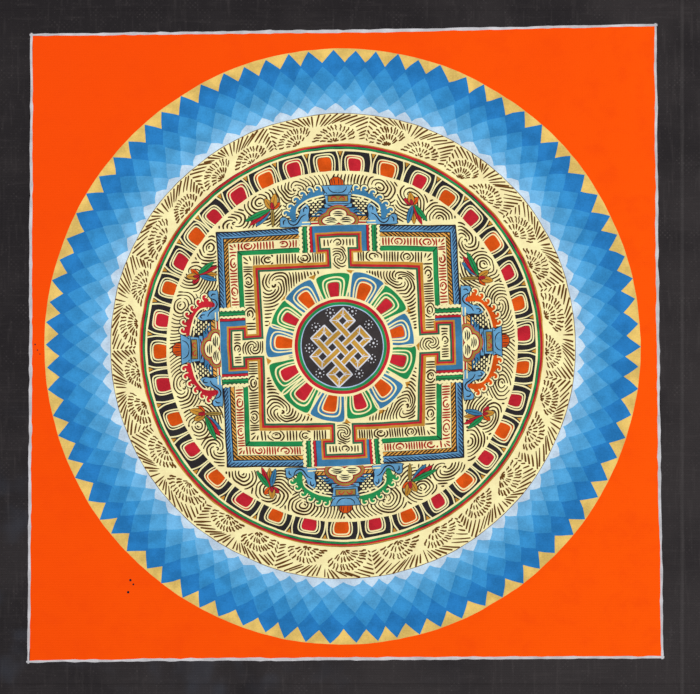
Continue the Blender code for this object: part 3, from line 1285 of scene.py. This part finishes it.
def pearls(half):
    """Strings of pearls on the dark ground under a double arch."""
    gold = paint("gold_crown_lines")
    coat = CROWN_COAT
    arch = ((4.4, 48.0), (9.1, 47.0), (11.3, 45.9), (12.9, 44.5), (13.2, 43.1), (12.3, 42.2))
    field = straight([(4.3, 43.6), *arch[:4], (12.2, 43.2), (8.5, 41.5)], closed=True)
    paint("brush_black").dab(half(field), coat + 0.5)
    for row, limit in enumerate((8.6, 10.4, 9.4, 9.0, 8.9, 8.9, 9.0)):
        outward = 46.8 - 0.8 * row
        along = (5.1 if row < 4 else 6.5) + 0.70 * (row % 2)
        while along < limit:
            pearl = [(along - 0.42, outward), (along + 0.42, outward - 0.06)]
            gold.line(half(pearl), 0.56, coat + 1, ends=0.85)
            along += 1.4
    gold.line(half(smooth(arch)), 0.66, coat + 1, ends=0.7)
    gold.line(half(smooth([(a - 0.5, o - 0.9) for a, o in arch[:4]])), 0.42, coat + 1, ends=0.6)


def crest(half, accent):
    """Waves that curl outwards along the arch, and the blue scroll that their last tongue rests on."""
    gold = paint("gold_crown_lines")
    black = paint("brush_black")
    coat = CROWN_COAT + 1
    scroll = smooth(SCROLL, closed=True)
    paint("roof_blue").dab(half(scroll), coat + 0.4)
    black.line(half(scroll), 0.26, coat + 1, closed=True, swell=0.3)
    paint(accent).dab(half(smooth(CREST, closed=True)), coat + 1.5)
    for stroke in SCROLL_STROKES:
        black.line(half(smooth(stroke)), 0.44, coat + 3, ends=0.5)
    for along, outward, turn in CURLS:
        hook = smooth(moved(HOOK, along, outward, turn, 0.92), step=0.4)
        core = moved(CURL_CORE, along, outward, turn)
        black.line(half(hook), 1.05, coat - 1, ends=0.7)
        paint(accent).dab(half(smooth(core, closed=True, step=0.5)), coat + 2.4)
        gold.line(half(hook), 0.52, coat + 5, ends=0.6)


def leaf_spray(shape, leaves, coat):
    """Long leaves, each with a thin dark edge and a midrib."""
    for n, (colour, x, y, direction, long, wide) in enumerate(leaves):
        for name, grow, lift in (("brush_black", 0.16, 0.0), (colour, 0.0, 0.5)):
            blade = [
                (-grow, 0.0), (long * 0.3, wide * 0.5 + grow), (long * 0.75, wide * 0.42 + grow),
                (long + grow, 0.0), (long * 0.7, -wide * 0.45 - grow), (long * 0.3, -wide * 0.5 - grow),
            ]
            outline = smooth(moved(blade, x, y, radians(direction)), closed=True, step=0.6)
            paint(name).dab(shape(outline), coat + n + lift)
        rib = moved([(long * 0.15, 0.0), (long * 0.85, 0.0)], x, y, radians(direction))
        paint("brush_black").line(shape(rib), 0.16, coat + len(leaves), ends=0.4)


LEFT_SPRIG = (
    # paint, where the leaf starts along the side and outwards, its direction in degrees, its length and width
    ("olive", -20.4, 38.9, 88, 6.0, 1.0),
    ("gate_blue", -21.0, 44.2, 225, 6.6, 1.6),
    ("red", -21.0, 44.3, 213, 8.0, 1.5),
    ("green", -21.0, 44.4, 201, 8.6, 1.4),
    ("ochre", -20.6, 44.6, 118, 3.6, 1.8),
    ("orange_core", -20.2, 44.6, 35, 3.0, 1.3),
    ("ochre", -20.2, 44.6, 75, 4.6, 1.9),
    ("red", -20.2, 44.4, 92, 2.2, 1.0),
)
RIGHT_SPRIG = (
    ("ochre", 24.7, 44.0, 270, 5.4, 1.5),
    ("gate_blue", 24.3, 44.2, 254, 5.6, 1.5),
    ("red", 24.8, 44.4, 292, 6.4, 1.3),
    ("green", 25.0, 44.5, 308, 6.2, 1.4),
    ("red", 24.0, 44.6, 140, 2.8, 1.4),
    ("orange_core", 24.4, 44.6, 45, 3.0, 1.4),
    ("ochre", 24.2, 44.4, 93, 3.8, 1.9),
    ("red", 24.2, 44.4, 93, 1.8, 0.9),
)


def sprigs():
    """Small flowering sprigs on the cloud ground on either side of each gate."""
    for quarter in range(4):
        for sprig in (LEFT_SPRIG, RIGHT_SPRIG):
            leaf_spray(lambda points: on_side(points, quarter), sprig, SPRIG_COAT)


# ---------------------------------------------------------------- the lotus and the knot

# Each petal's turn in degrees from the right, its colour, and how far it reaches
LOTUS_PETALS = (
    (-14, "green", 8.0), (14, "gate_blue", 7.4), (43.5, "green", 8.5), (69, "gate_blue", 8.8),
    (99, "green", 8.0), (127.5, "gate_blue", 8.4), (152.5, "green", 8.4), (177, "gate_blue", 8.8),
    (206, "green", 8.9), (230, "green", 8.9), (259, "gate_blue", 8.7), (287.5, "green", 7.8),
    (315, "gate_blue", 7.8),
)
LOTUS_RINGS = (("green", 13.75, 1.0), ("red", 14.7, 1.1))       # paint, radius, width
LOTUS_GOLD_RING = (15.62, 0.85)
LOTUS_FIELD = ((-4.2, 0.0), (-4.4, 2.6), (-4.55, 5.6), (-4.45, 7.2), (-3.7, 8.05), (0.0, 8.3))
LOTUS_ARCH = ((-2.75, 0.0), (-3.05, 2.6), (-3.0, 4.9), (-2.45, 6.1), (-1.2, 6.6), (0.0, 6.7))
LOTUS_LINE = ((-1.85, 0.0), (-2.1, 2.6), (-2.05, 4.3), (-1.6, 5.2), (0.0, 5.5))
LOTUS_CORE = ((-1.25, 0.1), (-1.6, 2.4), (-1.6, 4.1), (-1.25, 4.85), (0.0, 5.05))


def lotus():
    """Broad petals, green and blue, with red and orange cores, round the rings of the disc."""
    gold = paint("gold_lotus_lines")
    random = Random(97)
    coat = LOTUS_COAT
    for n, (turn, colour, long) in enumerate(LOTUS_PETALS):
        following = LOTUS_PETALS[(n + 1) % LOTUS_COUNT][0] + (360 if n + 1 == LOTUS_COUNT else 0)
        wide = (following - LOTUS_PETALS[n - 1][0] + (360 if n == 0 else 0)) / 2 / 27.7
        tall = long / 8.3
        lean = random.uniform(-0.5, 0.5)

        def bent(half, closed=False, grow=1.0):
            points = [(x * wide * grow + lean * y / 8, y * tall * grow) for x, y in mirrored(half)]
            return on_ring(smooth(points, closed=closed), radians(turn), LOTUS_BASE - 0.1, LOTUS)

        core = "red" if colour == "green" else "orange_core"
        paint(colour).dab(bent(LOTUS_FIELD, True), coat + 0.2 * (n % 3))
        if random.random() < 0.5:  # paint that strays between the two arches
            paint(core).dab(bent(LOTUS_CORE, True, 1.16), coat + 0.7)
        paint(core).dab(bent(LOTUS_CORE, True), coat + 1)
        gold.line(bent(LOTUS_FIELD), 0.50, coat + 1, swell=0.25)
        gold.line(bent(LOTUS_ARCH), 0.50, coat + 1, swell=0.3)
        gold.line(bent(LOTUS_LINE), 0.46, coat + 1, swell=0.3)
        wedge = straight([(-1.1, 8.7), (1.1, 8.7), (0.0, 7.2)], closed=True)
        paint("ochre").dab(on_ring(wedge, radians(turn + following) / 2, LOTUS_BASE - 0.1, LOTUS), coat - 1)
    for name, radius, width in LOTUS_RINGS:
        paint(name).line(circle(radius, LOTUS), width, coat + 1, closed=True, swell=0.15)
    radius, width = LOTUS_GOLD_RING
    gold.line(circle(radius, LOTUS), width, coat + 1, closed=True, swell=0.2)


KNOT_MIDDLE = (-0.7, -0.15)
KNOT_STEP = (1.40, 1.43)        # from one lattice line to the next: half the way from band to band
KNOT_HALF = 0.44                # half the band's width, in lattice steps
KNOT_SLANT = 0.055              # how far the knot leans to the right, for each millimetre up
KNOT_LOOPS = ((4, 2, 4, 4), (2, 4, 4, 4), (-2, 4, 0, 4), (4, -2, 4, 0), (-4, 0, -4, 2), (0, -4, 2, -4),
              (-4, -4, -4, -2), (-4, -4, -2, -4))
KNOT_CORNERS = (
    # a corner on the lattice and the side it points to
    (4, 4, 1, 1), (2, 4, -1, 1), (4, 2, 1, -1), (-2, 4, -1, 1), (0, 4, 1, 1), (4, -2, 1, -1), (4, 0, 1, 1),
    (-4, 0, -1, -1), (-4, 2, -1, 1), (0, -4, -1, -1), (2, -4, 1, -1), (-4, -4, -1, -1), (-4, -2, -1, 1),
    (-2, -4, 1, -1),
)
DOT_FLOWERS = (
    # turn in degrees from the right, distance from the middle of the lotus
    (110, 11.3), (74, 11.7), (40, 10.9), (6, 10.0), (-23, 10.2), (-58, 10.2), (-130, 11.0), (183, 10.5),
    (144, 10.3),
)


def lattice(p, q):
    """A place on the knot's lattice, which stands on its corner."""
    x, y = (p - q) * KNOT_STEP[0], (p + q) * KNOT_STEP[1]
    return KNOT_MIDDLE[0] + x + KNOT_SLANT * y, KNOT_MIDDLE[1] + y


def knot_strip(p0, q0, p1, q1, coat):
    """A straight piece of the knot's band, with a white line on either side."""
    off_p, off_q = (0, KNOT_HALF) if q0 == q1 else (KNOT_HALF, 0)
    low = [lattice(p0 - off_p, q0 - off_q), lattice(p1 - off_p, q1 - off_q)]
    high = [lattice(p0 + off_p, q0 + off_q), lattice(p1 + off_p, q1 + off_q)]
    paint("knot_ochre").dab(straight(low + high[::-1], closed=True), coat)
    for edge in (low, high):
        paint("white_line").line(straight(edge), 0.42, coat + 1, swell=0.2)


def knot_corner(p, q, out_p, out_q, coat):
    """The band's turn: a square of it with the white lines round its outside, and the mitre."""
    h = KNOT_HALF
    patch = [lattice(p + a * h, q + b * h) for a, b in ((-1, -1), (1, -1), (1, 1), (-1, 1))]
    paint("knot_ochre").dab(straight(patch, closed=True), coat)
    round_it = [lattice(p - out_p * h, q + out_q * h), lattice(p + out_p * h, q + out_q * h),
                lattice(p + out_p * h, q - out_q * h)]
    paint("white_line").line(straight(round_it, step=0.5), 0.42, coat + 1, swell=0.2)
    mitre = [lattice(p + side * out_p * h, q + side * out_q * h) for side in (-1, 1)]
    paint("white_line").line(mitre, 0.3, coat + 1)


def knot_disc():
    """The black disc with an endless knot and small dotted flowers."""
    coat = LOTUS_COAT + 2
    white = paint("white_line")
    paint("disc_black").dab(circle(DISC + 0.3, LOTUS), coat)
    paint("disc_line").line(circle(DISC + 0.25, LOTUS, 0.7), 0.34, coat + 1, closed=True, swell=0.2)
    for q in (-2, 0, 2):  # the bands that run one way, whole
        knot_strip(-4, q, 4, q, coat + 1)
    for p in (-2, 0, 2):  # the bands that cross them, over one and under the next
        start = -4
        for q in (-2, 0, 2):
            if (p + q) % 4:
                knot_strip(p, start, p, q - KNOT_HALF - 0.1, coat + 6)
                start = q + KNOT_HALF + 0.1
        knot_strip(p, start, p, 4, coat + 6)
    for loop in KNOT_LOOPS:
        knot_strip(*loop, coat + 7)
    for corner in KNOT_CORNERS:
        knot_corner(*corner, coat + 12)
    for turn, radius in DOT_FLOWERS:
        x, y = LOTUS[0] + radius * cos(radians(turn)), LOTUS[1] + radius * sin(radians(turn))
        white.dab(circle(0.36, (x, y), 0.25), coat + 1)
        for k in range(8):
            a = 2 * pi * k / 8 + turn
            white.dab(circle(0.19, (x + 1.28 * cos(a), y + 1.28 * sin(a)), 0.13), coat + 1)


# ---------------------------------------------------------------- the border and stray paint

# How far each stroke of the white line bows inwards, clockwise from the top
BORDER_BOWS = (0.5, 0.3, 0.1, 0.25)


def border_line():
    """The white line, in four strokes that bow a little and cross at the corners."""
    for bow, (ax, ay), (bx, by) in zip(BORDER_BOWS, FIELD_CORNERS, FIELD_CORNERS[1:] + FIELD_CORNERS[:1]):
        length = hypot(bx - ax, by - ay)
        right, up = (bx - ax) / length, (by - ay) / length
        path = []
        for k in range(121):
            along = -0.6 + (length + 1.2) * k / 120
            inward = bow * sin(pi * along / length)
            x = ax - CENTRE[0] + right * along + up * inward
            y = ay - CENTRE[1] + up * along - right * inward
            path.append((x, y))
        paint("border_white").line(path, 0.95, 1, ends=0.7, swell=0.6)


def stray_dots():
    """Little dark specks that the brush dropped on the orange field, and pale lint on the margin."""
    dots = (
        ("brush_black", ((-67.5, -74.4, 0.4), (-66.5, -75.7, 0.32), (-68.1, -78.2, 0.42), (-97.8, 0.6, 0.26),
                         (-97.1, -1.2, 0.22), (-96.3, -2.4, 0.2))),
        ("border_white", ((-64.5, -106.2, 0.3), (108.1, 40.3, 0.26), (108.0, -8.0, 0.2),
                          (107.6, -26.5, 0.22))),
    )
    for name, places in dots:
        for x, y, size in places:
            paint(name).dab(circle(size, (x, y), 0.2), 1)


# ---------------------------------------------------------------- the studio

PHOTO_WIDTH = 222.6             # what the photograph shows from side to side, in millimetres
CAMERA_HEIGHT = 620.0


def studio():
    """A pale floor, soft light and a camera straight above."""
    scene = bpy.context.scene
    scene.view_settings.view_transform = "Standard"
    bm = bmesh.new()
    bmesh.ops.create_grid(bm, x_segments=1, y_segments=1, size=3.0)
    mesh = bpy.data.meshes.new("floor")
    bm.to_mesh(mesh)
    bm.free()
    finish = Finish("floor")
    tone = finish.mottle(finish.place(), 300.0, 2.0)
    colour = finish.blend(tone, tint(214, 213, 211), tint(222, 221, 219))
    mesh.materials.append(finish.finish(colour, 0.85, specular=0.2))
    floor = bpy.data.objects.new("floor", mesh)
    scene.collection.objects.link(floor)

    world = bpy.data.worlds.new("studio")
    world.use_nodes = True
    world.node_tree.nodes["Background"].inputs[0].default_value = (1.0, 1.0, 1.0, 1.0)
    world.node_tree.nodes["Background"].inputs[1].default_value = 0.31
    scene.world = world
    for name, place, size, power in (
        ("left_light", (-0.75, 0.35, 0.95), 0.7, 8.0),
        ("right_light", (0.8, 0.1, 0.95), 0.7, 8.0),
    ):
        light = bpy.data.lights.new(name, "AREA")
        light.size = size
        light.energy = power
        lamp = bpy.data.objects.new(name, light)
        lamp.location = place
        lamp.rotation_euler = (-Vector(place)).to_track_quat("-Z", "Y").to_euler()
        scene.collection.objects.link(lamp)

    camera = bpy.data.cameras.new("camera")
    camera.sensor_fit = "HORIZONTAL"
    camera.angle = 2 * atan2(PHOTO_WIDTH / 2, CAMERA_HEIGHT - CANVAS_THICKNESS)
    camera.clip_start = 0.01
    eye = bpy.data.objects.new("camera", camera)
    eye.location = (0, 0, CAMERA_HEIGHT * MM)
    scene.collection.objects.link(eye)
    scene.camera = eye


# ---------------------------------------------------------------- putting it together


def main():
    studio()
    sheet = canvas_sheet()
    blue_rays()
    leaf_ring()
    petal_ring()
    cloud_ground()
    palace()
    court()
    gates()
    crowns()
    sprigs()
    lotus()
    knot_disc()
    border_line()
    stray_dots()
    for colour in palette.values():
        colour.build()


main()
